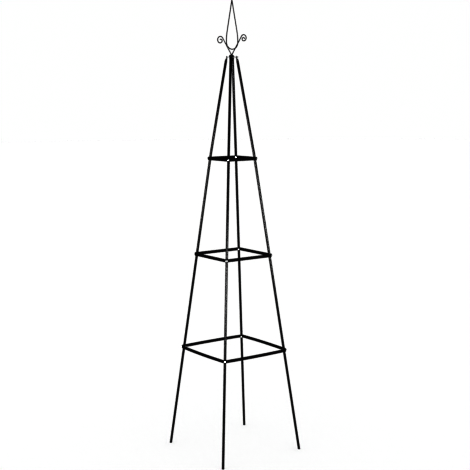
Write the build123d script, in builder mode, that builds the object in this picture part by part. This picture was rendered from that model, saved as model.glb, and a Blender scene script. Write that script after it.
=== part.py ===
from build123d import *
from math import asin, atan, atan2, cos, degrees, hypot, pi, radians, sin, sqrt, tan
import os

# Garden obelisk: four bent tube legs, three square tiers of flat bar on edge and a wire finial.
# Millimetres, +Z up. The origin is on the ground in the middle of the feet, and the tiers' sides are
# parallel to X and Y. The front of the finial faces -Y.

# ---------------------------------------------------------------------------------------------
# Driving sizes
# ---------------------------------------------------------------------------------------------
# Legs, each in two lengths of round tube
foot_spacing = 400.0  # between leg centres along a side, at the ground
upper_tier_spacing = 133.5  # the same, at the upper tier
tube_diameter = 10.4
tube_wall = 1.1
top_bolt_height = 1668.0  # ground to the lower of the two bolts that join the legs' tops
top_bolt_stagger = 4.8  # the other one, across the other diagonal, lies this much higher
seam_drop = 27.5  # from the middle tier's screws down to the seam between the lengths
spigot_rise = 29.0  # from the middle tier's screws up to the top of the spigot inside the upper length
spigot_chamfer = 0.5
swage_length = 6.0  # inner taper below the spigot
bend_rise = 20.0  # from the upper tier's centre up to the leg's bend
bend_radius = 300.0

# Leg tops, pressed flat and drilled
tongue_distance = 20.2  # axis of the obelisk to the middle of a tongue's thickness
tongue_drop = 5.2  # tongue's tip to its hole
press_length = 15.5  # from round tube to flat tongue
press_offset = 4.7  # how far the tongue's middle lies inside the round tube's centre
press_slit = 0.3  # gap left between the walls where the flat starts
press_corner_angle = 40.0  # on the round tube, from its side to where the pressed face starts
press_margin = 0.3  # flat left around a bolt's head

# Tiers of flat bar
lower_tier_height = 435.0  # ground to the middle of the bar
tier_pitch = 407.5  # from one tier up to the next
bar_height = 12.6
bar_thickness = 3.0
corner_radius = 11.8  # outside of a tier's bent corner
lower_tier_bow = 5.0  # how far the lower tier's sides bulge
bar_edge_round = 0.5

# Screws and bolts
screw_diameter = 4.0
screw_tail = 1.6  # a tier screw's end past its nut
top_bolt_tail = 4.1
head_diameter = 7.8
head_height = 2.5
head_rim = 1.0  # upright edge of a head, below its dome
recess_width = 1.1
recess_span = 4.2
recess_depth = 1.3
nut_across_flats = 7.0
nut_height = 3.2
nut_chamfer = 0.4
thread_chamfer = 0.5

# Finial
wire_diameter = 4.0
stem_diameter = 8.0
stem_length = 30.0
stem_rise = 12.0  # from the lower top bolt up to the stem's top
stem_chamfer = 0.5
finial_height = 220.0  # the stem's top to the finial's tip
loop_half_width = 28.7  # centre of the wire, at the loop's widest and round its bottom
loop_side = 5.6  # upright side, from the round bottom to where the side starts to close in
loop_shoulder_radius = 190.0  # of the bend where the side closes in
scroll_lean = 33.0  # degrees from upright
left_scroll_run = 77.0  # straight part of the left scroll
left_scroll_turns = [(13.8, 165.0), (11.6, 126.0), (6.3, 167.0)]  # radius and degrees of each arc
right_scroll_run = 90.0
right_scroll_turns = [(12.6, 250.0), (6.6, 245.0)]

# Clearances
slip_clearance = 0.15  # spigot in its tube, on the radius
screw_clearance = 0.15  # screw in its hole, on the radius
thread_clearance = 0.05  # screw in its nut, on the radius
seat_clearance = 0.05  # between a piece and the one that it bears on

# ---------------------------------------------------------------------------------------------
# Worked-out sizes
# ---------------------------------------------------------------------------------------------
tube_radius = tube_diameter / 2
bore_radius = tube_radius - tube_wall
spigot_radius = bore_radius - slip_clearance
spigot_bore_radius = spigot_radius - tube_wall
screw_radius = screw_diameter / 2
hole_radius = screw_radius + screw_clearance
wire_radius = wire_diameter / 2
nut_corner_radius = nut_across_flats / sqrt(3)

middle_tier_height = lower_tier_height + tier_pitch
upper_tier_height = middle_tier_height + tier_pitch
seam_height = middle_tier_height - seam_drop
spigot_top = middle_tier_height + spigot_rise
bend_height = upper_tier_height + bend_rise
stem_top = top_bolt_height + stem_rise
tip_height = stem_top + finial_height

# Distances from the obelisk's axis are taken along the diagonal that the leg stands on.
foot_distance = foot_spacing / sqrt(2)
leg_slope = (foot_spacing - upper_tier_spacing) / sqrt(2) / upper_tier_height
leg_lean = atan(leg_slope)
tube_reach = tube_radius / cos(leg_lean)  # half the leaning tube's level width
tongue_thickness = 2 * tube_wall  # the tube's walls pressed together
tongue_width = pi * bore_radius + tongue_thickness  # the bore pressed shut is half its round wide
tongue_outside = tongue_distance + tongue_thickness / 2
press_top_drop = head_diameter / 2 + press_margin  # from a tongue's hole down to where its flat ends

corners = {
    "front_left": (-1, -1),
    "front_right": (1, -1),
    "rear_right": (1, 1),
    "rear_left": (-1, 1),
}
bolt_pairs = {  # the corners at a top bolt's head and at its nut
    "lower": ("rear_left", "front_right"),
    "upper": ("front_left", "rear_right"),
}
bolt_heights = {"lower": top_bolt_height, "upper": top_bolt_height + top_bolt_stagger}
tongue_hole_heights = {corner: bolt_heights[name] for name, pair in bolt_pairs.items() for corner in pair}


def leg_distance(height):
    """Distance from the obelisk's axis to a leg's centre, below the bend."""
    return foot_distance - leg_slope * height


def diagonal_plane(corner):
    """Upright plane of a corner's leg: local x runs outwards along the diagonal, local y upwards."""
    side_x, side_y = corners[corner]
    return Plane(origin=(0, 0, 0), x_dir=(side_x, side_y, 0), z_dir=(side_y, -side_x, 0))


def on_diagonal(corner, distance, height):
    """Point at a distance from the obelisk's axis, over a corner's diagonal."""
    return diagonal_plane(corner).from_local_coords((distance, height))


def outward_plane(corner, distance, height):
    """Upright plane across a corner's diagonal that faces outwards."""
    side_x, side_y = corners[corner]
    origin = on_diagonal(corner, distance, height)
    return Plane(origin=origin, x_dir=(-side_y, side_x, 0), z_dir=(side_x, side_y, 0))


def leg_hole_planes(corner, heights):
    """Planes of the level screw holes through a leg's centre."""
    return [outward_plane(corner, leg_distance(height), height) for height in heights]


def finish(part, name):
    """Label a finished piece and write it."""
    part.label = name
    export_step(part, f"parts/{name}.step")


os.makedirs("parts", exist_ok=True)


# ---------------------------------------------------------------------------------------------
# Legs
# ---------------------------------------------------------------------------------------------
def make_lower_leg(corner):
    """Straight tube from its level-cut foot to the spigot inside the upper length."""
    foot = on_diagonal(corner, foot_distance, 0)
    along = (on_diagonal(corner, leg_distance(seam_height), seam_height) - foot).normalized()
    across = diagonal_plane(corner).z_dir
    tube_plane = Plane(origin=foot, x_dir=along.cross(across), z_dir=across)
    seam_run = seam_height / cos(leg_lean)
    spigot_run = spigot_top / cos(leg_lean)
    below_ground = 2 * tube_radius * leg_slope

    with BuildPart() as leg:
        with BuildSketch(tube_plane):
            with BuildLine():
                Polyline(
                    (bore_radius, -below_ground),
                    (tube_radius, -below_ground),
                    (tube_radius, seam_run),
                    (spigot_radius, seam_run),
                    (spigot_radius, spigot_run - spigot_chamfer),
                    (spigot_radius - spigot_chamfer, spigot_run),
                    (spigot_bore_radius, spigot_run),
                    (spigot_bore_radius, seam_run),
                    (bore_radius, seam_run - swage_length),
                    close=True,
                )
            make_face()
        revolve(axis=Axis(foot, along))
        split(bisect_by=Plane.XY, keep=Keep.TOP)
        with BuildSketch(*leg_hole_planes(corner, (lower_tier_height, middle_tier_height))):
            Circle(hole_radius)
        extrude(amount=tube_diameter, both=True, mode=Mode.SUBTRACT)
    return leg.part


def tube_section(plane, radius):
    """Round section of a tube in four arcs, to match a tongue's section edge for edge."""
    corner_x = radius * cos(radians(press_corner_angle))
    corner_y = radius * sin(radians(press_corner_angle))
    with BuildSketch(plane) as section:
        with BuildLine():
            ThreePointArc((corner_x, -corner_y), (radius, 0), (corner_x, corner_y))
            ThreePointArc((corner_x, corner_y), (0, radius), (-corner_x, corner_y))
            ThreePointArc((-corner_x, corner_y), (-radius, 0), (-corner_x, -corner_y))
            ThreePointArc((-corner_x, -corner_y), (0, -radius), (corner_x, -corner_y))
        make_face()
    return section.sketch


def tongue_section(plane, width, thickness):
    """Flat section with round ends."""
    flat = width / 2 - thickness / 2
    edge = thickness / 2
    with BuildSketch(plane) as section:
        with BuildLine():
            ThreePointArc((flat, -edge), (width / 2, 0), (flat, edge))
            Line((flat, edge), (-flat, edge))
            ThreePointArc((-flat, edge), (-width / 2, 0), (-flat, -edge))
            Line((-flat, -edge), (flat, -edge))
        make_face()
    return section.sketch


def make_upper_leg(corner):
    """Tube from the seam, bent inwards above the upper tier, with its top pressed to a drilled tongue."""
    hole_height = tongue_hole_heights[corner]
    flat_bottom = hole_height - press_top_drop
    tongue_tip = hole_height + tongue_drop
    press_bottom = flat_bottom - press_length
    diagonal = diagonal_plane(corner)

    with BuildPart() as leg:
        with BuildLine(diagonal) as run:
            FilletPolyline(
                (leg_distance(seam_height), seam_height),
                (leg_distance(bend_height), bend_height),
                (tongue_distance + press_offset, press_bottom),
                radius=bend_radius,
            )
        with BuildSketch(Plane(origin=run.line @ 0, z_dir=run.line % 0)):
            Circle(tube_radius)
            Circle(bore_radius, mode=Mode.SUBTRACT)
        sweep()

        round_plane = Plane(origin=run.line @ 1, x_dir=diagonal.z_dir, z_dir=run.line % 1)
        flat_start = on_diagonal(corner, tongue_distance, flat_bottom)
        flat_plane = Plane(origin=flat_start, x_dir=diagonal.z_dir, z_dir=(0, 0, 1))
        flat_section = tongue_section(flat_plane, tongue_width, tongue_thickness)
        slit_section = tongue_section(flat_plane, tongue_width - 2 * tube_wall, press_slit)
        loft([tube_section(round_plane, tube_radius), flat_section])
        loft([tube_section(round_plane, bore_radius), slit_section], mode=Mode.SUBTRACT)
        extrude(flat_section, amount=tongue_tip - flat_bottom)

        with BuildSketch(outward_plane(corner, tongue_distance, tongue_tip - tongue_width / 2)):
            with Locations((0, tongue_width / 2)):
                Rectangle(2 * tongue_width, tongue_width)
            Circle(tongue_width / 2, mode=Mode.SUBTRACT)
        extrude(amount=tongue_thickness, both=True, mode=Mode.SUBTRACT)

        with BuildSketch(outward_plane(corner, tongue_distance, hole_height)):
            Circle(hole_radius)
        extrude(amount=tongue_thickness, both=True, mode=Mode.SUBTRACT)
        with BuildSketch(*leg_hole_planes(corner, (middle_tier_height, upper_tier_height))):
            Circle(hole_radius)
        extrude(amount=tube_diameter, both=True, mode=Mode.SUBTRACT)
    return leg.part


for corner in corners:
    finish(make_lower_leg(corner), f"leg_lower_{corner}")
    finish(make_upper_leg(corner), f"leg_upper_{corner}")


# ---------------------------------------------------------------------------------------------
# Tiers
# ---------------------------------------------------------------------------------------------
inner_corner_radius = corner_radius - bar_thickness
corner_reach = tube_reach + leg_slope * bar_height / 2 + seat_clearance  # leg's centre to a corner's inside
corner_inset = inner_corner_radius - corner_reach  # leg's centre inwards to the centre of a corner's bend


def draw_quarter_hoop(centre, radius, bow):
    """Draw a quarter of a square hoop: half a side, a rounded corner and half the next side."""
    middle = centre + radius + bow
    corner_middle = centre + radius / sqrt(2)
    if bow:
        side_reach = (centre**2 - bow**2) / (2 * bow)  # from the corner's centre to the side's, along X
        side_radius = side_reach + bow + radius
        half_angle = atan2(centre, side_reach)
        side_centre = centre - side_reach
        halfway = (side_centre + side_radius * cos(half_angle / 2), side_radius * sin(half_angle / 2))
        end = (side_centre + side_radius * cos(half_angle), side_radius * sin(half_angle))
        ThreePointArc((middle, 0), halfway, end)
        ThreePointArc(end, (corner_middle, corner_middle), end[::-1])
        ThreePointArc(end[::-1], halfway[::-1], (0, middle))
    else:
        Line((middle, 0), (middle, centre))
        ThreePointArc((middle, centre), (corner_middle, corner_middle), (centre, middle))
        Line((centre, middle), (0, middle))


def make_tier(height, bow):
    """Flat bar on edge, bent to a square hoop round the outside of the legs and drilled at its corners."""
    centre = (leg_distance(height) - corner_inset) / sqrt(2)
    with BuildPart() as tier:
        with BuildSketch(Plane.XY.offset(height - bar_height / 2)):
            with BuildLine():
                draw_quarter_hoop(centre, corner_radius, bow)
                mirror(about=Plane.YZ)
                mirror(about=Plane.XZ)
            make_face()
            with BuildLine():
                draw_quarter_hoop(centre, inner_corner_radius, bow)
                mirror(about=Plane.YZ)
                mirror(about=Plane.XZ)
            make_face(mode=Mode.SUBTRACT)
        extrude(amount=bar_height)
        fillet(tier.faces().filter_by(Axis.Z).edges(), bar_edge_round)
        with BuildSketch(*[outward_plane(corner, leg_distance(height), height) for corner in corners]):
            Circle(hole_radius)
        extrude(amount=2 * corner_radius, mode=Mode.SUBTRACT)
    return tier.part


# ---------------------------------------------------------------------------------------------
# Fasteners, made along Z with their seat at the origin
# ---------------------------------------------------------------------------------------------
def make_screw(length):
    """Pan-head screw: the head above the seat, the shank below it."""
    with BuildPart() as screw:
        with BuildSketch(Plane.XZ):
            with BuildLine():
                Polyline(
                    (0, head_height),
                    (0, -length),
                    (screw_radius - thread_chamfer, -length),
                    (screw_radius, thread_chamfer - length),
                    (screw_radius, 0),
                    (head_diameter / 2, 0),
                    (head_diameter / 2, head_rim),
                )
                TangentArc((0, head_height), (head_diameter / 2, head_rim), tangent=(1, 0))
            make_face()
        revolve(axis=Axis.Z)
        with BuildSketch(Plane.XY.offset(head_height)):
            Rectangle(recess_span, recess_width)
            Rectangle(recess_width, recess_span)
        extrude(amount=-recess_depth, mode=Mode.SUBTRACT)
    return screw.part


def make_nut():
    """Hexagon nut below its seat, with its corners rounded off at both ends."""
    with BuildPart() as nut:
        with BuildSketch():
            RegularPolygon(nut_across_flats / 2, side_count=6, major_radius=False)
            Circle(screw_radius + thread_clearance, mode=Mode.SUBTRACT)
        extrude(amount=-nut_height)
        with BuildSketch(Plane.XZ):
            with BuildLine():
                Polyline(
                    (0, 0),
                    (nut_across_flats / 2, 0),
                    (nut_corner_radius, -nut_chamfer),
                    (nut_corner_radius, nut_chamfer - nut_height),
                    (nut_across_flats / 2, -nut_height),
                    (0, -nut_height),
                    close=True,
                )
            make_face()
        revolve(axis=Axis.Z, mode=Mode.INTERSECT)
    return nut.part


def gather(piece, planes):
    """One node of several copies of a piece, each on its own plane."""
    with BuildPart() as group:
        with Locations(*planes):
            add(piece)
    return group.part


# Seats of a tier's screw heads and nuts, outwards and inwards from the leg's centre
head_seat = corner_reach + bar_thickness + seat_clearance
nut_seat = tube_reach + leg_slope * nut_corner_radius + seat_clearance
bolt_seat = tongue_outside + seat_clearance

tier_screw = make_screw(head_seat + nut_seat + nut_height + screw_tail)
top_bolt = make_screw(2 * bolt_seat + nut_height + top_bolt_tail)
nut = make_nut()

tiers = {
    "lower": (lower_tier_height, lower_tier_bow),
    "middle": (middle_tier_height, 0),
    "upper": (upper_tier_height, 0),
}
for name, (height, bow) in tiers.items():
    screw_planes = [outward_plane(corner, leg_distance(height) + head_seat, height) for corner in corners]
    nut_planes = [outward_plane(corner, leg_distance(height) - nut_seat, height) for corner in corners]
    finish(make_tier(height, bow), f"tier_{name}")
    finish(gather(tier_screw, screw_planes), f"tier_{name}_screws")
    finish(gather(nut, nut_planes), f"tier_{name}_nuts")

# Each top bolt runs from one tongue through the stem and the opposite tongue to its nut.
for name, (head_corner, nut_corner) in bolt_pairs.items():
    height = bolt_heights[name]
    nut_plane = outward_plane(nut_corner, bolt_seat, height)
    facing_in = Plane(origin=nut_plane.origin, x_dir=nut_plane.x_dir, z_dir=-nut_plane.z_dir)
    finish(gather(top_bolt, [outward_plane(head_corner, bolt_seat, height)]), f"top_bolt_{name}")
    finish(gather(nut, [facing_in]), f"top_nut_{name}")


# ---------------------------------------------------------------------------------------------
# Finial
# ---------------------------------------------------------------------------------------------
def make_stem():
    """Post on the axis, cross-drilled for the two top bolts."""
    with BuildPart() as stem:
        with BuildSketch(Plane.XY.offset(stem_top - stem_length)):
            Circle(stem_diameter / 2)
        extrude(amount=stem_length)
        chamfer(stem.faces().filter_by(Axis.Z).edges(), stem_chamfer)
        with BuildSketch(*[outward_plane(pair[0], 0, bolt_heights[name]) for name, pair in bolt_pairs.items()]):
            Circle(hole_radius)
        extrude(amount=stem_diameter, both=True, mode=Mode.SUBTRACT)
    return stem.part


# The scrolls' wires stand side by side on the stem's top, and the loop's round bottom rests against
# them both, one wire's thickness in front.
scroll_slant = radians(scroll_lean)
scroll_foot = wire_radius / cos(scroll_slant) + seat_clearance
loop_centre_height = stem_top + (loop_half_width - scroll_foot * cos(scroll_slant)) / sin(scroll_slant)


def make_loop():
    """Wire bent to a round-bottomed loop whose ends meet in a point, made as one half and mirrored."""
    side_top = loop_centre_height + loop_side
    shoulder_x = loop_half_width - loop_shoulder_radius
    shoulder_to_tip = hypot(shoulder_x, tip_height - side_top)
    tip_lean = asin(loop_shoulder_radius / shoulder_to_tip) - atan2(-shoulder_x, tip_height - side_top)
    with BuildPart() as loop:
        with BuildLine(Plane.XZ.offset(wire_diameter + seat_clearance)) as half:
            JernArc((0, loop_centre_height - loop_half_width), (1, 0), loop_half_width, 90)
            side = Line((loop_half_width, loop_centre_height), (loop_half_width, side_top))
            shoulder = JernArc(side @ 1, (0, 1), loop_shoulder_radius, degrees(tip_lean))
            Line(shoulder @ 1, (-wire_diameter * tan(tip_lean), tip_height + wire_diameter))
        with BuildSketch(Plane(origin=half.line @ 0, z_dir=half.line % 0)):
            Circle(wire_radius)
        sweep()
        split(bisect_by=Plane.YZ, keep=Keep.TOP)
        split(bisect_by=Plane.XY.offset(tip_height), keep=Keep.BOTTOM)
        mirror(about=Plane.YZ)
    return loop.part


def make_scroll(side, run, turns):
    """Wire that leans out from the stem's top and curls over; side is -1 for the left, 1 for the right."""
    start = (side * (scroll_foot - wire_diameter * tan(scroll_slant)), stem_top - wire_diameter)
    end = (side * (scroll_foot + run * sin(scroll_slant)), stem_top + run * cos(scroll_slant))
    with BuildPart() as scroll:
        with BuildLine(Plane.XZ) as path:
            piece = Line(start, end)
            for radius, angle in turns:
                piece = JernArc(piece @ 1, piece % 1, radius, -side * angle)
        with BuildSketch(Plane(origin=path.line @ 0, z_dir=path.line % 0)):
            Circle(wire_radius)
        sweep()
        split(bisect_by=Plane.XY.offset(stem_top + seat_clearance), keep=Keep.TOP)
    return scroll.part


finish(make_stem(), "finial_stem")
finish(make_loop(), "finial_loop")
finish(make_scroll(-1, left_scroll_run, left_scroll_turns), "finial_scroll_left")
finish(make_scroll(1, right_scroll_run, right_scroll_turns), "finial_scroll_right")
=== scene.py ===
# %% [markdown]
# # Garden obelisk
#
# The real object is a plant support for a flower bed. Four thin steel tubes lean together and are
# pressed flat and bolted at the top, three square hoops of flat bar hold them apart, and a finial
# of bent wire stands on the joint. All of it is sprayed with black powder and baked, and put
# together with small bright screws.
#
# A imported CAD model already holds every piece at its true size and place. This script keeps the
# pieces whose shape is right, makes finer ones where the real thing has detail that the CAD model
# leaves out (threads, welds, the soft shape of a pressed tube end), and gives everything a finish.

import random
from math import acos, atan, atan2, cos, degrees, hypot, pi, radians, sin, sqrt

import bmesh
import bpy
from mathutils import Matrix, Vector, noise


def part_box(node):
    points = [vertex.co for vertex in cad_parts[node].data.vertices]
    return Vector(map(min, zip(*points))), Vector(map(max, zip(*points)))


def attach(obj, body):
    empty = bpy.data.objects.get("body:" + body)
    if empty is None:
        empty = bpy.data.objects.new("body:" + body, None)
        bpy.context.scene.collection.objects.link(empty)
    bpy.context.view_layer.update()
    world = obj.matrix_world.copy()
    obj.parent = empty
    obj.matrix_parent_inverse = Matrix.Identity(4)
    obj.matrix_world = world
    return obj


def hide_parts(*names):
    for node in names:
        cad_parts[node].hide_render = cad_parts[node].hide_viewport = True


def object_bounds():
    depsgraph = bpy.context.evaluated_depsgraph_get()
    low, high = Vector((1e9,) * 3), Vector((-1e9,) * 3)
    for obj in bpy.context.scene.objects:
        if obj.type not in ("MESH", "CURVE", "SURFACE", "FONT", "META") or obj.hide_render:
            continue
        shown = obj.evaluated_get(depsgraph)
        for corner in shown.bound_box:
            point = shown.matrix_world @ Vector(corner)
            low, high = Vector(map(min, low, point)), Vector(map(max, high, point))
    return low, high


MM = 0.001
SEED = 7

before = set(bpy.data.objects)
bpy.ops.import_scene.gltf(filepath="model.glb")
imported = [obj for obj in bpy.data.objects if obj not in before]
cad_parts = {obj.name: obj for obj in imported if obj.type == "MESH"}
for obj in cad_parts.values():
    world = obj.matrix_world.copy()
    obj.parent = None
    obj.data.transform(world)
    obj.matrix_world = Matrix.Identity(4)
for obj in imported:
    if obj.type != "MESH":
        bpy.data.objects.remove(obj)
cad_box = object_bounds()
random.seed(SEED)
print("CAD nodes:", len(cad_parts))
print("CAD box in metres:", [round(value, 4) for corner in cad_box for value in corner])

# %% [markdown]
# ## The camera
#
# The obelisk is tall and thin, so the camera stands well back with a long lens, which keeps the
# legs nearly upright in the view. It stands at about the height of a person's eyes and looks
# slightly down, turned so that one leg is in front and one behind.
#
# A camera can be placed with Euler angles, with a Track To constraint or with a matrix. A product
# of simple matrices is used here, because it reads like directions to a camera operator: turn the
# tripod round the object, walk back, tip the camera down, level it.

# %% Camera
TURN = 35.64  # degrees round the obelisk from straight in front
DISTANCE = 4.249  # metres from the obelisk's axis
SIDE_STEP = 0.009  # metres to the right
HEIGHT = 1.519  # metres above the floor
TIP_DOWN = 7.94  # degrees
ROLL = -0.37  # degrees
LENS = 77.65  # millimetres
SENSOR_WIDTH = 36  # millimetres


def turned(angle, axis):
    """Rotation by an angle in degrees."""
    return Matrix.Rotation(radians(angle), 4, axis)


def add_object(name, data):
    """Make an object of a mesh, a lamp or a camera and put it in the scene."""
    made = bpy.data.objects.new(name, data)
    bpy.context.scene.collection.objects.link(made)
    return made


camera_data = bpy.data.cameras.new("studio_camera")
camera_data.lens = LENS
camera_data.sensor_width = SENSOR_WIDTH
camera = add_object("studio_camera", camera_data)
tripod = turned(-TURN, "Z") @ Matrix.Translation((SIDE_STEP, -DISTANCE, HEIGHT))
camera.matrix_world = tripod @ turned(90 - TIP_DOWN, "X") @ turned(ROLL, "Z")
bpy.context.scene.camera = camera
print("Camera at", [round(value, 3) for value in camera.matrix_world.translation])

# %% [markdown]
# ## The studio
#
# Thin black tubes are best shown in a white room. The floor and everything behind it burn out to
# plain white, and the black metal shows its shape only where a lamp is mirrored in it.
#
# The floor is one large disc with a lamp of its own, as a studio lights its backdrop apart from the
# subject. The world is a dome, nearly dark at the horizon and brighter overhead. A tube that stands
# nearly upright mirrors the band near the horizon, so that band decides how black the legs look.
# Two soft boxes, one on each side of the camera, put the long grey sheen on the legs and the bright
# points on the screws. Light linking keeps the lamps apart: the floor's lamp lights only the floor,
# and the soft boxes light everything else, so the floor comes out even and just white.
#
# The render is developed with a gamma below one. Half tones sink and white stays white, which
# keeps the weight of a thin dark line that would otherwise melt into a bright background.

# %% Floor
FLOOR_RADIUS = 30.0
FLOOR_SIDES = 96
FLOOR_DROP = 0.5 * MM  # keeps the floor clear of the cut feet
FLOOR_WHITE = 0.9
FLOOR_ROUGHNESS = 0.9

floor_bm = bmesh.new()
bmesh.ops.create_circle(floor_bm, cap_ends=True, segments=FLOOR_SIDES, radius=FLOOR_RADIUS)
bmesh.ops.translate(floor_bm, verts=floor_bm.verts, vec=(0, 0, cad_box[0].z - FLOOR_DROP))
floor_mesh = bpy.data.meshes.new("studio_floor")
floor_bm.to_mesh(floor_mesh)
floor_bm.free()
floor = add_object("studio_floor", floor_mesh)

floor_paint = bpy.data.materials.new("pale_floor_paint")
floor_paint.use_nodes = True
floor_shader = floor_paint.node_tree.nodes["Principled BSDF"]
floor_shader.inputs["Base Color"].default_value = (FLOOR_WHITE, FLOOR_WHITE, FLOOR_WHITE, 1)
floor_shader.inputs["Roughness"].default_value = FLOOR_ROUGHNESS
floor_shader.inputs["Specular IOR Level"].default_value = 0.0
floor_mesh.materials.append(floor_paint)
print("Floor disc", 2 * FLOOR_RADIUS, "m across")

# %% Add a shader node
def add_node(tree, kind, values=None):
    """Add a node to a material's or world's tree and set its sockets by name."""
    node = tree.nodes.new(kind)
    for socket, value in (values or {}).items():
        node.inputs[socket].default_value = value
    return node


# %% Light dome
DOME_LOW = 0.04  # brightness at the horizon
DOME_HIGH = 0.5  # brightness overhead
CLIMB_START = 0.2  # height on a dome of radius 1 up to which it stays dim
CLIMB_END = 0.75  # and from which it is bright
WHITE = (1, 1, 1, 1)

dome = bpy.data.worlds.new("light_dome")
bpy.context.scene.world = dome
dome.use_nodes = True
tree = dome.node_tree
tree.nodes.clear()
direction = add_node(tree, "ShaderNodeTexCoord")
split_direction = add_node(tree, "ShaderNodeSeparateXYZ")
heights = {"From Min": CLIMB_START, "From Max": CLIMB_END, "To Min": DOME_LOW, "To Max": DOME_HIGH}
climb = add_node(tree, "ShaderNodeMapRange", heights)
climb.interpolation_type = "SMOOTHSTEP"
sky = add_node(tree, "ShaderNodeBackground", {"Color": WHITE})
tree.links.new(direction.outputs["Generated"], split_direction.inputs["Vector"])
tree.links.new(split_direction.outputs["Z"], climb.inputs["Value"])
tree.links.new(climb.outputs["Result"], sky.inputs["Strength"])
print("Dome from", DOME_LOW, "at the horizon to", DOME_HIGH, "overhead")

# %% White backdrop
BACKDROP = 1.0  # brightness that the camera itself sees behind the obelisk

backdrop = add_node(tree, "ShaderNodeBackground", {"Color": WHITE, "Strength": BACKDROP})
ray = add_node(tree, "ShaderNodeLightPath")
choose = add_node(tree, "ShaderNodeMixShader")
world_output = add_node(tree, "ShaderNodeOutputWorld")
tree.links.new(ray.outputs["Is Camera Ray"], choose.inputs["Fac"])
tree.links.new(sky.outputs["Background"], choose.inputs[1])
tree.links.new(backdrop.outputs["Background"], choose.inputs[2])
tree.links.new(choose.outputs["Shader"], world_output.inputs["Surface"])
print("The camera sees a backdrop of", BACKDROP)

# %% Development
DEVELOPING_GAMMA = 0.445

bpy.context.scene.view_settings.view_transform = "Standard"
bpy.context.scene.view_settings.gamma = DEVELOPING_GAMMA
print("Developed with a gamma of", DEVELOPING_GAMMA)

# %% A lamp linked to the floor, or to everything but the floor
def add_lamp(name, kind, power, floor_link, place):
    """Make a lamp and say by floor_link whether it lights only the floor or leaves it out."""
    lamp_data = bpy.data.lights.new(name, kind)
    lamp_data.energy = power
    lamp = add_object(name, lamp_data)
    lamp.matrix_world = place
    linked = bpy.data.collections.new(f"{name}_and_floor")
    linked.objects.link(floor)
    linked.collection_objects[0].light_linking.link_state = floor_link
    lamp.light_linking.receiver_collection = linked
    return lamp_data


# %% Floor lamp
FLOOR_LAMP = 2.285  # watts to a square metre, which with the dome brings the floor just to white

floor_lamp = add_lamp("floor_lamp", "SUN", FLOOR_LAMP, "INCLUDE", Matrix())
floor_lamp.use_shadow = False
print("Floor lamp straight overhead, without shadows")

# %% Soft boxes to the left and right of the camera
BOX_DISTANCE = 3.0
BOX_CENTRE = 0.94  # metres above the floor
BOX_WIDTH = 0.5
BOX_HEIGHT = 0.68
SOFT_BOXES = {  # degrees round from the camera, and watts
    "soft_box_left": (-35, 105.0),
    "soft_box_right": (35, 170.0),
}

for name, (angle, power) in SOFT_BOXES.items():
    stand = turned(angle - TURN, "Z") @ Matrix.Translation((0, -BOX_DISTANCE, BOX_CENTRE))
    soft_box = add_lamp(name, "AREA", power, "EXCLUDE", stand @ turned(90, "X"))
    soft_box.shape = "RECTANGLE"
    soft_box.size = BOX_WIDTH
    soft_box.size_y = BOX_HEIGHT
print("Soft boxes at", list(SOFT_BOXES.values()))

# %% [markdown]
# ## Finishes
#
# Powder coat is sprayed on dry and melts in an oven. It comes out as a thin, tough skin with a
# satin gloss and a faint orange-peel texture of about a millimetre, a little smoother in one place
# and a little duller in another. The screws and nuts are zinc plated, which is bright and slightly
# blue with a warmer cast here and there. The second top bolt is blackened steel with a film of oil.
#
# A round tube shows a lamp as a thin line from any side. A flat bar shows it all at once or not at
# all, and a satin one would flash white from one side of the room. The bars have a duller coat.
#
# A finish can be painted on a mesh, but a procedural one needs no unwrapping and has the same grain
# on every piece. Object coordinates are used for all of them, because every mesh lies in one frame
# in metres, so a noise of scale 900 has bumps of about a millimetre wherever it lands.
#
# The finishes are all made alike, from three grains of noise. One drifts the colour, a second the
# roughness, and a third raises fine bumps.


# %% Building blocks for a finish
NOISE_LOW = 0.3  # noise seldom falls below this
NOISE_HIGH = 0.7  # or rises above this
COLOUR_STOPS = (0.35, 0.65)  # noise at which the first and the second colour are reached


def new_finish(name, slot):
    """An empty finish: its material, its shader and the record's slot that it stands for."""
    material = bpy.data.materials.new(name)
    material.use_nodes = True
    material["slot"] = slot
    return material, material.node_tree.nodes["Principled BSDF"]


def grain(material, scale, detail):
    """Noise from 0 to 1 over the piece, with scale in grains to a metre."""
    tree = material.node_tree
    coordinates = add_node(tree, "ShaderNodeTexCoord")
    noise_node = add_node(tree, "ShaderNodeTexNoise", {"Scale": scale, "Detail": detail})
    tree.links.new(coordinates.outputs["Object"], noise_node.inputs["Vector"])
    return noise_node.outputs["Fac"]


def spread_value(material, source, low, high):
    """Turn noise, which keeps near its middle, into a value from low to high."""
    values = {"From Min": NOISE_LOW, "From Max": NOISE_HIGH, "To Min": low, "To Max": high}
    spread = add_node(material.node_tree, "ShaderNodeMapRange", values)
    material.node_tree.links.new(source, spread.inputs["Value"])
    return spread.outputs["Result"]


def spread_colour(material, source, first, second):
    """Blend two colours by noise."""
    ramp = add_node(material.node_tree, "ShaderNodeValToRGB")
    for stop, position, colour in zip(ramp.color_ramp.elements, COLOUR_STOPS, (first, second)):
        stop.position = position
        stop.color = (*colour, 1)
    material.node_tree.links.new(source, ramp.inputs["Fac"])
    return ramp.outputs["Color"]


def bumps(material, source, height, strength):
    """Surface relief of a height in metres."""
    values = {"Distance": height, "Strength": strength}
    bump = add_node(material.node_tree, "ShaderNodeBump", values)
    material.node_tree.links.new(source, bump.inputs["Height"])
    return bump.outputs["Normal"]


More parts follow.
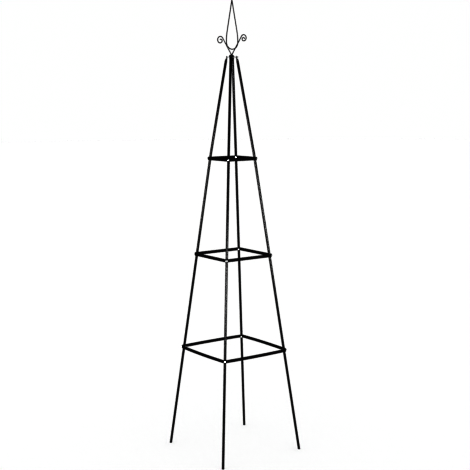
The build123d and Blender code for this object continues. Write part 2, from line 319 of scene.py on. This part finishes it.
# %% A finish with three grains
def grained_finish(name, slot, colours, roughness, relief):
    """Put a finish together. Each grain is (grains to a metre, detail, and two values).

    The two values are colours, the lowest and highest roughness, or the relief's height and
    strength.
    """
    finish, shader = new_finish(name, slot)
    colour = spread_colour(finish, grain(finish, *colours[:2]), *colours[2:])
    dullness = spread_value(finish, grain(finish, *roughness[:2]), *roughness[2:])
    normal = bumps(finish, grain(finish, *relief[:2]), *relief[2:])
    finish.node_tree.links.new(colour, shader.inputs["Base Color"])
    finish.node_tree.links.new(dullness, shader.inputs["Roughness"])
    finish.node_tree.links.new(normal, shader.inputs["Normal"])
    return finish, shader


# %% Black powder coat, satin and dull
COAT_PATCHES = (35, 2, (0.0022, 0.0022, 0.0024), (0.0045, 0.0045, 0.0048))
ORANGE_PEEL = (900, 2, 0.04 * MM, 0.5)
SATIN = (120, 4, 0.16, 0.24)
SATIN_GLOSS = 0.2
DULL = (120, 4, 0.74, 0.86)
DULL_GLOSS = 0.1

powder_coat, shader = grained_finish(
    "satin_black_powder_coat", "black_powder_coat", COAT_PATCHES, SATIN, ORANGE_PEEL
)
shader.inputs["Specular IOR Level"].default_value = SATIN_GLOSS
bar_coat, shader = grained_finish(
    "dull_black_powder_coat", "black_powder_coat", COAT_PATCHES, DULL, ORANGE_PEEL
)
shader.inputs["Specular IOR Level"].default_value = DULL_GLOSS
print("Powder coat: satin on the tubes and wire, dull on the flat bars")

# %% Bright zinc plate
ZINC_CAST = (260, 3, (0.84, 0.87, 0.90), (0.91, 0.90, 0.87))
ZINC_POLISH = (700, 5, 0.14, 0.28)
PLATE_RELIEF = (2500, 2, 0.015 * MM, 0.4)

zinc, shader = grained_finish("bright_zinc_plate", "zinc", ZINC_CAST, ZINC_POLISH, PLATE_RELIEF)
shader.inputs["Metallic"].default_value = 1.0
print("Zinc plate: bluish, with a warm cast in patches")

# %% Blackened steel
OIL_FILM = (300, 3, (0.012, 0.012, 0.014), (0.03, 0.028, 0.026))
OIL_SHEEN = (800, 4, 0.3, 0.45)
BLACKENED_METALLIC = 0.8

blackened, shader = grained_finish(
    "oiled_blackened_steel", "blackened_steel", OIL_FILM, OIL_SHEEN, PLATE_RELIEF
)
shader.inputs["Metallic"].default_value = BLACKENED_METALLIC
print("Blackened steel: dark, under a film of oil")

# %% Give every CAD node its finish
TIERS = ("lower", "middle", "upper")
HOOPS = [f"tier_{name}" for name in TIERS]  # the flat bars

finishes = {material["slot"]: material for material in (powder_coat, zinc, blackened)}
for name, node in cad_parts.items():
    for place in node.material_slots:
        place.material = bar_coat if name in HOOPS else finishes[place.material.name]
print("Finished nodes:", len(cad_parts), "of which", len(HOOPS), "have the dull coat")

# %% [markdown]
# ## Making a piece
#
# Each new piece is a bmesh, Blender's own editable mesh, which is shaped with the same operators
# that an artist uses by hand and then written to an object. The object stays at the origin, and its
# place is in its mesh, as on the CAD nodes, so that pieces and nodes line up without any fitting.
#
# Smooth shading would smear light over a hard edge, so edges that turn more than a set angle are
# marked sharp first.

# %% Helpers for new pieces
SHARP_ANGLE = radians(38)


def shade(bm):
    """Smooth faces with sharp edges where the surface turns hard."""
    for face in bm.faces:
        face.smooth = True
    for edge in bm.edges:
        edge.smooth = edge.calc_face_angle(0) < SHARP_ANGLE


def print_fit(piece, replaced):
    """Print a piece's faces and the farthest that its box lies from the replaced nodes' box."""
    text = f"{piece.name}: {len(piece.data.polygons)} faces"
    if replaced:
        boxes = [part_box(node) for node in replaced]
        low = [min(box[0][axis] for box in boxes) for axis in range(3)]
        high = [max(box[1][axis] for box in boxes) for axis in range(3)]
        spots = [vertex.co for vertex in piece.data.vertices]
        gaps = [abs(min(spot[axis] for spot in spots) - low[axis]) for axis in range(3)]
        gaps += [abs(max(spot[axis] for spot in spots) - high[axis]) for axis in range(3)]
        text += f", box within {max(gaps) / MM:.2f} mm of the CAD model's"
    print(text)


def make_piece(name, bm, finish, *replaced):
    """Write a shape to an object that rides with the obelisk and stands for the CAD nodes named."""
    shade(bm)
    mesh = bpy.data.meshes.new(name)
    bm.to_mesh(mesh)
    bm.free()
    mesh.materials.append(finish)
    piece = add_object(name, mesh)
    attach(piece, "root")
    if replaced:
        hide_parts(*replaced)
    print_fit(piece, replaced)


# %% [markdown]
# ## Upper legs
#
# The upper length of each leg is a plain tube whose top was squeezed flat in a press and punched
# with a hole. Squeezing does not stretch the steel: the round wall becomes two flat walls with a
# tight fold at each side, so the flat is wider than the tube was, and its skin flows in soft curves
# from one to the other.
#
# It could be a skinned curve with a bevel object, but a curve can't change its section so freely.
# Instead a ring of edges is extruded up the leg. A circle shrunk to the folds' small radius, with
# its two halves moved apart, is exactly the section of a pressed tube, so every ring is the first
# one, scaled and parted. The hole is left out, because the stem and the bolt's head or nut cover
# it.

# %% Where the legs stand
FOOT_SPACING = 400.0 * MM  # between neighbouring feet
UPPER_TIER_SPACING = 133.5 * MM  # between neighbouring legs at the upper tier
CORNERS = {
    "front_left": (-1, -1),
    "front_right": (1, -1),
    "rear_right": (1, 1),
    "rear_left": (-1, 1),
}


def middle_height(node):
    """Height of the middle of a CAD node."""
    low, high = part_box(node)
    return (low.z + high.z) / 2


tier_heights = {name: middle_height(f"tier_{name}") for name in TIERS}
leg_slope = (FOOT_SPACING - UPPER_TIER_SPACING) / sqrt(2) / tier_heights["upper"]
leg_lean = atan(leg_slope)


def leg_distance(height):
    """Distance from the obelisk's axis to a leg's centre, along the diagonal."""
    return FOOT_SPACING / sqrt(2) - leg_slope * height


def corner_turn(corner):
    """Turn a piece made with +Y outwards to a corner's diagonal."""
    side_x, side_y = CORNERS[corner]
    return Matrix.Rotation(atan2(side_y, side_x) - pi / 2, 4, "Z")


print("Tier heights in mm:", {name: round(height / MM, 1) for name, height in tier_heights.items()})
print("The legs lean", round(degrees(leg_lean), 2), "degrees")

# %% Grow a tube ring by ring
TUBE_RADIUS = 5.2 * MM
TUBE_WALL = 1.1 * MM
TUBE_SIDES = 48


def ring_pose(distance, height, lean):
    """Where a ring lies: X across the leg, Y outwards, Z along it."""
    return Matrix.Translation((0, distance, height)) @ Matrix.Rotation(lean, 4, "X")


def part_halves(bm, verts, gap):
    """Move the right half of a ring to the right and the left half to the left."""
    bmesh.ops.translate(bm, verts=[v for v in verts if v.co.x > 0], vec=(gap, 0, 0))
    bmesh.ops.translate(bm, verts=[v for v in verts if v.co.x < 0], vec=(-gap, 0, 0))


def grow(bm, ring, old, new):
    """Extrude a ring of edges. Old and new are (pose, radius, how far its halves are parted)."""
    made = bmesh.ops.extrude_edge_only(bm, edges=ring)["geom"]
    verts = [part for part in made if isinstance(part, bmesh.types.BMVert)]
    edges = [part for part in made if isinstance(part, bmesh.types.BMEdge)]
    bmesh.ops.transform(bm, matrix=old[0].inverted(), verts=verts)
    part_halves(bm, verts, -old[2])
    bmesh.ops.scale(bm, vec=[new[1] / old[1]] * 3, verts=verts)
    part_halves(bm, verts, new[2])
    bmesh.ops.transform(bm, matrix=new[0], verts=verts)
    return [edge for edge in edges if all(vert in verts for vert in edge.verts)]


def grow_tube(stations):
    """A closed tube through a list of ring stations, capped at both ends."""
    bm = bmesh.new()
    pose, radius, _ = stations[0]
    start = pose @ turned(180 / TUBE_SIDES, "Z")  # half a side round, so that no corner is at X 0
    bmesh.ops.create_circle(bm, cap_ends=True, segments=TUBE_SIDES, radius=radius, matrix=start)
    ring = list(bm.edges)
    for old, new in zip(stations, stations[1:]):
        ring = grow(bm, ring, old, new)
    bmesh.ops.edgeloop_fill(bm, edges=ring)
    bmesh.ops.recalc_face_normals(bm, faces=bm.faces)
    return bm


# %% Sizes of an upper leg
SEAM_DROP = 27.5 * MM  # from the middle tier down to the seam between the two lengths
SPIGOT_ROOM = 60.0 * MM  # depth of the bore that takes the lower length's spigot
SEAM_EDGE = 0.3 * MM  # bevel of the seam
BEND_RISE = 20.0 * MM  # from the upper tier up to the bend
BEND_RADIUS = 300.0 * MM
BOLT_HEIGHTS = {"lower": 1668.0 * MM, "upper": 1672.8 * MM}
BOLT_CORNERS = {"lower": ("rear_left", "front_right"), "upper": ("front_left", "rear_right")}
TONGUE_DISTANCE = 20.2 * MM  # from the obelisk's axis to the middle of a tongue
TONGUE_RISE = 5.2 * MM  # from a tongue's hole up to its tip
PRESS_LENGTH = 15.5 * MM  # height over which round turns to flat
PRESS_OFFSET = 4.7 * MM  # of the round tube outwards from the tongue
PRESS_DROP = 4.2 * MM  # from a tongue's hole down to where its flat ends
SHOULDER_START = 0.76  # share of the press length that comes before the shoulder
SLOW_SHARE = 0.6  # share of the squeeze that builds up slowly, the rest comes at the shoulder
SLOW_POWER = 1.7  # how late the slow part comes


def parted(radius):
    """How far a ring's halves move apart for the way round it to stay as long as on the tube."""
    return pi / 2 * (TUBE_RADIUS - radius)


fold_radius = TUBE_WALL
tongue_reach = parted(fold_radius) + fold_radius
print(f"A tongue is {2 * tongue_reach / MM:.1f} mm wide and {2 * fold_radius / MM:.1f} mm thick")

# %% Stations of the straight run and the bend
BEND_STEPS = 4


def mix(first, second, share):
    """Part of the way from the first value to the second."""
    return first + (second - first) * share


def straight_stations():
    """The bore for the spigot, the seam's edge and the straight run up to the bend."""
    seam = tier_heights["middle"] - SEAM_DROP

    def on_run(rise, radius):
        height = seam + rise * cos(leg_lean)
        return ring_pose(leg_distance(height), height, leg_lean), radius, 0.0

    bore = TUBE_RADIUS - TUBE_WALL
    bend_rise = (tier_heights["upper"] + BEND_RISE - seam) / cos(leg_lean)
    return [
        on_run(SPIGOT_ROOM, bore),
        on_run(0, bore),
        on_run(0, TUBE_RADIUS - SEAM_EDGE),
        on_run(SEAM_EDGE, TUBE_RADIUS),
        on_run(bend_rise / 2, TUBE_RADIUS),
    ]


def bend_stations(press_start):
    """The slight bend above the upper tier; press_start is where the round tube ends."""
    height = tier_heights["upper"] + BEND_RISE
    corner = Vector((0, leg_distance(height), height))
    rise = press_start - corner
    top_lean = atan2(-rise.y, rise.z)
    reach = BEND_RADIUS * sin((top_lean - leg_lean) / 2)
    start = corner - reach * Vector((0, -sin(leg_lean), cos(leg_lean)))
    end = corner + reach * Vector((0, -sin(top_lean), cos(top_lean)))
    stations = []
    for step in range(BEND_STEPS + 1):
        share = step / BEND_STEPS
        spot = start.lerp(corner, share).lerp(corner.lerp(end, share), share)
        pose = ring_pose(spot.y, spot.z, mix(leg_lean, top_lean, share))
        stations.append((pose, TUBE_RADIUS, 0.0))
    return stations, top_lean


# %% Stations of the press and the tip
PRESS_STEPS = 28
TIP_STEPS = 10


def ease(share):
    """Start and stop softly."""
    return share * share * (3 - 2 * share)


def squeeze(share):
    """How far the tube is flat: slowly at first, then over a short shoulder where the die ends."""
    shoulder = max(0.0, (share - SHOULDER_START) / (1 - SHOULDER_START))
    return mix(ease(shoulder), share**SLOW_POWER, SLOW_SHARE)


def press_stations(press_start, top_lean, flat_height):
    """The round tube flows into the flat, pressed from outside against a flat die."""
    stations = []
    inner_start = press_start.y - TUBE_RADIUS * cos(top_lean)
    inner_end = TONGUE_DISTANCE - fold_radius
    start_pull = -PRESS_LENGTH * sin(top_lean) / cos(top_lean)  # leaves the bend without a kink
    for step in range(PRESS_STEPS + 1):
        share = step / PRESS_STEPS
        radius = mix(TUBE_RADIUS, fold_radius, squeeze(share))
        lean = top_lean * (1 - ease(share))
        inner = mix(inner_start, inner_end, ease(share)) + start_pull * share * (1 - share) ** 2
        height = mix(press_start.z, flat_height, share)
        pose = ring_pose(inner + radius * cos(lean), height, lean)
        stations.append((pose, radius, parted(radius)))
    return stations


def tip_stations(tip_height):
    """The tongue's half-round tip."""
    centre = tip_height - tongue_reach
    last_angle = acos(fold_radius / tongue_reach)
    stations = []
    for step in range(TIP_STEPS + 1):
        angle = last_angle * step / TIP_STEPS
        pose = ring_pose(TONGUE_DISTANCE, centre + tongue_reach * sin(angle), 0)
        stations.append((pose, fold_radius, tongue_reach * cos(angle) - fold_radius))
    stations.append((ring_pose(TONGUE_DISTANCE, tip_height, 0), fold_radius / 2, 0.0))
    return stations


# %% Upper legs
hole_heights = {
    corner: BOLT_HEIGHTS[bolt] for bolt, pair in BOLT_CORNERS.items() for corner in pair
}
for corner, hole_height in hole_heights.items():
    flat_height = hole_height - PRESS_DROP
    press_start = Vector((0, TONGUE_DISTANCE + PRESS_OFFSET, flat_height - PRESS_LENGTH))
    bend, top_lean = bend_stations(press_start)
    stations = straight_stations() + bend + press_stations(press_start, top_lean, flat_height)
    leg = grow_tube(stations + tip_stations(hole_height + TONGUE_RISE))
    bmesh.ops.transform(leg, matrix=corner_turn(corner), verts=leg.verts)
    make_piece(f"pressed_leg_{corner}", leg, powder_coat, f"leg_upper_{corner}")

# %% [markdown]
# ## Screws and bolts
#
# The hoops are held by M4 pan-head screws with a cross recess, and the top by two long ones that
# cross on their way through the stem. The CAD model has plain shanks. A real screw has a thread,
# and it shows where the end comes through the nut and along the two top bolts.
#
# The shank and head are one profile spun about the screw's axis. The thread is a small ridge that
# the Spin operator carries round and up at once, which makes a helix. The recess is cut by a
# Boolean modifier, because no spun or extruded shape can sink a tapered cross into a dome.

# %% Spin a profile
SPIN_STEPS = 40
WELD_DISTANCE = 0.001 * MM  # merges the points where the profile meets the axis


def spin_solid(bm, profile):
    """A closed solid of revolution about Z, from points of (radius, height)."""
    verts = [bm.verts.new((radius, 0, height)) for radius, height in profile]
    edges = [bm.edges.new(pair) for pair in zip(verts, verts[1:])]
    bmesh.ops.spin(
        bm, geom=verts + edges, cent=(0, 0, 0), axis=(0, 0, 1),
        angle=2 * pi, steps=SPIN_STEPS, use_merge=True,
    )
    bmesh.ops.remove_doubles(bm, verts=bm.verts, dist=WELD_DISTANCE)


# %% Sizes of the M4 screws
SCREW_RADIUS = 2.0 * MM
CORE_RADIUS = 1.62 * MM
PITCH = 0.7 * MM
CREST_HALF = 0.06 * MM  # half the thread's width at its crest
FOOT_HALF = 0.3 * MM  # and at its foot
FOOT_RADIUS = 1.5 * MM  # the foot is sunk in the core
CORE_CHAMFER = 0.4 * MM
THREAD_CHAMFER = 0.3 * MM  # how far under the core's radius the thread starts
THREAD_STEPS = 20  # to a turn
PLAIN_NECK = 0.4 * MM  # cone between thread and head
HEAD_RADIUS = 3.9 * MM
HEAD_HEIGHT = 2.5 * MM
HEAD_RIM = 1.0 * MM  # height of the head where its dome begins
HEAD_EDGE = 0.15 * MM  # bevel under the head
RECESS_WIDTH = 1.1 * MM
RECESS_SPAN = 4.2 * MM
RECESS_DEPTH = 1.3 * MM
RECESS_TAPER = 0.55  # share of the cross's size that is left at the cutter's lower end
RECESS_REPEAT = 90  # degrees after which a cross looks the same
SIDE_NORMAL = 0.5  # a face whose normal rises less than this is a side
DOME_STEPS = 10


# %% Shank, head and thread
def screw_profile(length):
    """Half outline of a pan-head screw, from its end up to the top of its head."""
    dome_rise = HEAD_HEIGHT - HEAD_RIM
    dome_radius = (HEAD_RADIUS**2 + dome_rise**2) / (2 * dome_rise)
    half_angle = atan2(HEAD_RADIUS, dome_radius - dome_rise)
    profile = [
        (0, -length),
        (CORE_RADIUS - CORE_CHAMFER, -length),
        (CORE_RADIUS, CORE_CHAMFER - length),
        (CORE_RADIUS, -PLAIN_NECK),
        (SCREW_RADIUS, 0),
        (HEAD_RADIUS - HEAD_EDGE, 0),
        (HEAD_RADIUS, HEAD_EDGE),
    ]
    for step in range(DOME_STEPS + 1):
        angle = half_angle * (1 - step / DOME_STEPS)
        height = HEAD_HEIGHT - dome_radius * (1 - cos(angle))
        profile.append((dome_radius * sin(angle), height))
    return profile


def add_thread(bm, length):
    """A helical ridge along the shank, cut back at the screw's end."""
    turns = int((length - PLAIN_NECK - 2 * FOOT_HALF) / PITCH)
    start = FOOT_HALF - length
    corners = [
        (FOOT_RADIUS, -FOOT_HALF),
        (SCREW_RADIUS, -CREST_HALF),
        (SCREW_RADIUS, CREST_HALF),
        (FOOT_RADIUS, FOOT_HALF),
    ]
    first = [bm.verts.new((radius, 0, start + height)) for radius, height in corners]
    edges = [bm.edges.new(pair) for pair in zip(first, first[1:] + first[:1])]
    spun = bmesh.ops.spin(
        bm, geom=first + edges, cent=(0, 0, 0), axis=(0, 0, 1), dvec=(0, 0, PITCH / THREAD_STEPS),
        angle=2 * pi * turns, steps=THREAD_STEPS * turns,
    )
    last = [part for part in spun["geom_last"] if isinstance(part, bmesh.types.BMEdge)]
    bmesh.ops.edgeloop_fill(bm, edges=edges)
    bmesh.ops.edgeloop_fill(bm, edges=last)
    for vert in bm.verts:
        limit = CORE_RADIUS - THREAD_CHAMFER + vert.co.z + length
        radius = hypot(vert.co.x, vert.co.y)
        if radius > limit:
            vert.co.xy = vert.co.xy * (limit / radius)
    return turns


# %% Cross recess
def make_cross():
    """A cutter: a cross that narrows downwards, with its top above the head."""
    bm = bmesh.new()
    depth = RECESS_DEPTH + HEAD_HEIGHT - HEAD_RIM
    bmesh.ops.create_cube(bm, size=1)
    bmesh.ops.scale(bm, vec=(RECESS_WIDTH, RECESS_WIDTH, depth), verts=bm.verts)
    arms = [face for face in bm.faces if abs(face.normal.z) < SIDE_NORMAL]
    arm_length = (RECESS_SPAN - RECESS_WIDTH) / 2
    for face in bmesh.ops.extrude_discrete_faces(bm, faces=arms)["faces"]:
        bmesh.ops.translate(bm, verts=face.verts, vec=face.normal * arm_length)
    low = [vert for vert in bm.verts if vert.co.z < 0]
    bmesh.ops.scale(bm, vec=(RECESS_TAPER, RECESS_TAPER, 1), verts=low)
    bmesh.ops.translate(bm, verts=bm.verts, vec=(0, 0, HEAD_HEIGHT - RECESS_DEPTH + depth / 2))
    bmesh.ops.recalc_face_normals(bm, faces=bm.faces)
    return bm


def carve(blank, cutter):
    """Cut one closed shape out of another with a Boolean modifier and return the mesh."""
    workpieces = []
    for bm in (blank, cutter):
        mesh = bpy.data.meshes.new("workpiece")
        bm.to_mesh(mesh)
        bm.free()
        workpieces.append(add_object("workpiece", mesh))
    cut = workpieces[0].modifiers.new("cut", "BOOLEAN")
    cut.operation = "DIFFERENCE"
    cut.solver = "EXACT"
    cut.object = workpieces[1]
    bpy.context.view_layer.update()
    carved = workpieces[0].evaluated_get(bpy.context.evaluated_depsgraph_get())
    result = bpy.data.meshes.new_from_object(carved)
    for workpiece in workpieces:
        bpy.data.objects.remove(workpiece)
    return result


def make_screw(length):
    """One screw along Z with its seat at the origin, as a mesh to copy."""
    bm = bmesh.new()
    spin_solid(bm, screw_profile(length))
    bmesh.ops.recalc_face_normals(bm, faces=bm.faces)
    body = carve(bm, make_cross())
    bm = bmesh.new()
    turns = add_thread(bm, length)
    bmesh.ops.recalc_face_normals(bm, faces=bm.faces)
    bm.from_mesh(body)
    mesh = bpy.data.meshes.new("screw")
    bm.to_mesh(mesh)
    bm.free()
    print(f"Screw {length / MM:.1f} mm long with {turns} turns of thread")
    return mesh


# %% Where screws sit
BAR_HEIGHT = 12.6 * MM
BAR_THICKNESS = 3.0 * MM
SEAT_GAP = 0.05 * MM  # clearance at each seat
NUT_HEIGHT = 3.2 * MM
NUT_CORNER = 7.0 / sqrt(3) * MM  # corner radius of a nut 7 mm across its flats
TIER_TAIL = 1.6 * MM  # of a tier screw past its nut
BOLT_TAIL = 4.1 * MM  # of a top bolt past its nut

tube_reach = TUBE_RADIUS / cos(leg_lean)
head_seat = tube_reach + leg_slope * BAR_HEIGHT / 2 + BAR_THICKNESS + 2 * SEAT_GAP
nut_seat = tube_reach + leg_slope * NUT_CORNER + SEAT_GAP
bolt_seat = TONGUE_DISTANCE + fold_radius + SEAT_GAP
print("Screw heads sit", round(head_seat / MM, 2), "mm from a leg's centre")
print("Bolt heads sit", round(bolt_seat / MM, 2), "mm from the obelisk's axis")


def screw_place(corner, distance, height):
    """Stand a screw made along Z on a corner's diagonal, head outwards and turned at random."""
    outwards = corner_turn(corner) @ Matrix.Translation((0, distance, height)) @ turned(-90, "X")
    return outwards @ turned(random.uniform(0, RECESS_REPEAT), "Z")


def place_screws(screw, places):
    """Copies of a screw in one shape."""
    bm = bmesh.new()
    for place in places:
        done = len(bm.verts)
        bm.from_mesh(screw)
        bm.verts.ensure_lookup_table()
        bmesh.ops.transform(bm, matrix=place, verts=bm.verts[done:])
    return bm


# %% Tier screws
tier_screw = make_screw(head_seat + nut_seat + NUT_HEIGHT + TIER_TAIL)
for name, height in tier_heights.items():
    places = [screw_place(corner, leg_distance(height) + head_seat, height) for corner in CORNERS]
    screws = place_screws(tier_screw, places)
    make_piece(f"threaded_screws_{name}", screws, zinc, f"tier_{name}_screws")

# %% Top bolts
top_bolt = make_screw(2 * bolt_seat + NUT_HEIGHT + BOLT_TAIL)
for name, finish in (("lower", zinc), ("upper", blackened)):
    place = screw_place(BOLT_CORNERS[name][0], bolt_seat, BOLT_HEIGHTS[name])
    bolt = place_screws(top_bolt, [place])
    make_piece(f"threaded_bolt_{name}", bolt, finish, f"top_bolt_{name}")

# %% [markdown]
# ## Welds
#
# The finial's wires are welded: both scrolls to the top of the stem, and the loop to the scrolls
# where it leans on them. Each hoop is one bar whose ends meet near the middle of its rear side,
# where a bead on the inside closes it. The powder coat runs over all of this, so a weld shows only
# as a soft, rippled swelling.
#
# A weld could be carved by sculpting. Here it is a sphere whose skin is moved in and out by a
# little noise and by the ripples that a welder's hand leaves, and which is then stretched to the
# bead's length. That gives the same result every time.

# %% Weld bead
BEAD_RINGS = 24
RIPPLE_DEPTH = 0.09
NOISE_DEPTH = 0.12
NOISE_SCALE = 1.7
NOISE_SHIFT = 1000  # moves the noise by a bead's place, so that no two beads are alike


def add_bead(bm, place, reach, ripples):
    """A weld bead: reach is its half size along X, Y and Z, and it ripples along X."""
    sphere = bmesh.ops.create_uvsphere(
        bm, u_segments=2 * BEAD_RINGS, v_segments=BEAD_RINGS, radius=1
    )
    made = sphere["verts"]
    bmesh.ops.rotate(bm, verts=made, matrix=Matrix.Rotation(pi / 2, 3, "Y"))
    for vert in made:
        swell = 1 + RIPPLE_DEPTH * sin(ripples * pi * vert.co.x) * (1 - vert.co.x**2)
        swell += NOISE_DEPTH * noise.noise(vert.co * NOISE_SCALE + place.translation * NOISE_SHIFT)
        vert.co *= swell
    bmesh.ops.scale(bm, vec=reach, verts=made)
    bmesh.ops.transform(bm, matrix=place, verts=made)


# %% Finial welds
SCROLL_LEAN = 33.0  # degrees from upright
WIRE_RADIUS = 2.0 * MM
LOOP_HALF_WIDTH = 28.7 * MM  # to the middle of the wire
STEM_BEAD = (3.6 * MM, 2.8 * MM, 1.0 * MM)
LOOP_BEAD = (5.5 * MM, 1.2 * MM, 1.6 * MM)
STEM_RIPPLES = 2
LOOP_RIPPLES = 6

lean = radians(SCROLL_LEAN)
stem_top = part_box("finial_stem")[1].z
loop_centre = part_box("finial_loop")[0].z + WIRE_RADIUS + LOOP_HALF_WIDTH
finial_bm = bmesh.new()
add_bead(finial_bm, Matrix.Translation((0, 0, stem_top)), STEM_BEAD, STEM_RIPPLES)
for side in (-1, 1):
    across = side * LOOP_HALF_WIDTH * cos(lean)
    height = loop_centre - LOOP_HALF_WIDTH * sin(lean)
    touch = Matrix.Translation((across, -WIRE_RADIUS, height))
    along_wire = Matrix.Rotation(side * lean - pi / 2, 4, "Y")
    add_bead(finial_bm, touch @ along_wire, LOOP_BEAD, LOOP_RIPPLES)
make_piece("finial_welds", finial_bm, powder_coat)

# %% Hoop welds
JOINT_SHIFT = 12 * MM  # of the bar's ends from the middle of the side
HOOP_BEAD = (5.6 * MM, 0.7 * MM, 1.4 * MM)
HOOP_RIPPLES = 8

hoop_bm = bmesh.new()
for name, height in tier_heights.items():
    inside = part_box(f"tier_{name}")[1].y - BAR_THICKNESS
    upright = Matrix.Translation((JOINT_SHIFT, inside, height)) @ turned(90, "Y")
    add_bead(hoop_bm, upright, HOOP_BEAD, HOOP_RIPPLES)
make_piece("hoop_welds", hoop_bm, bar_coat)
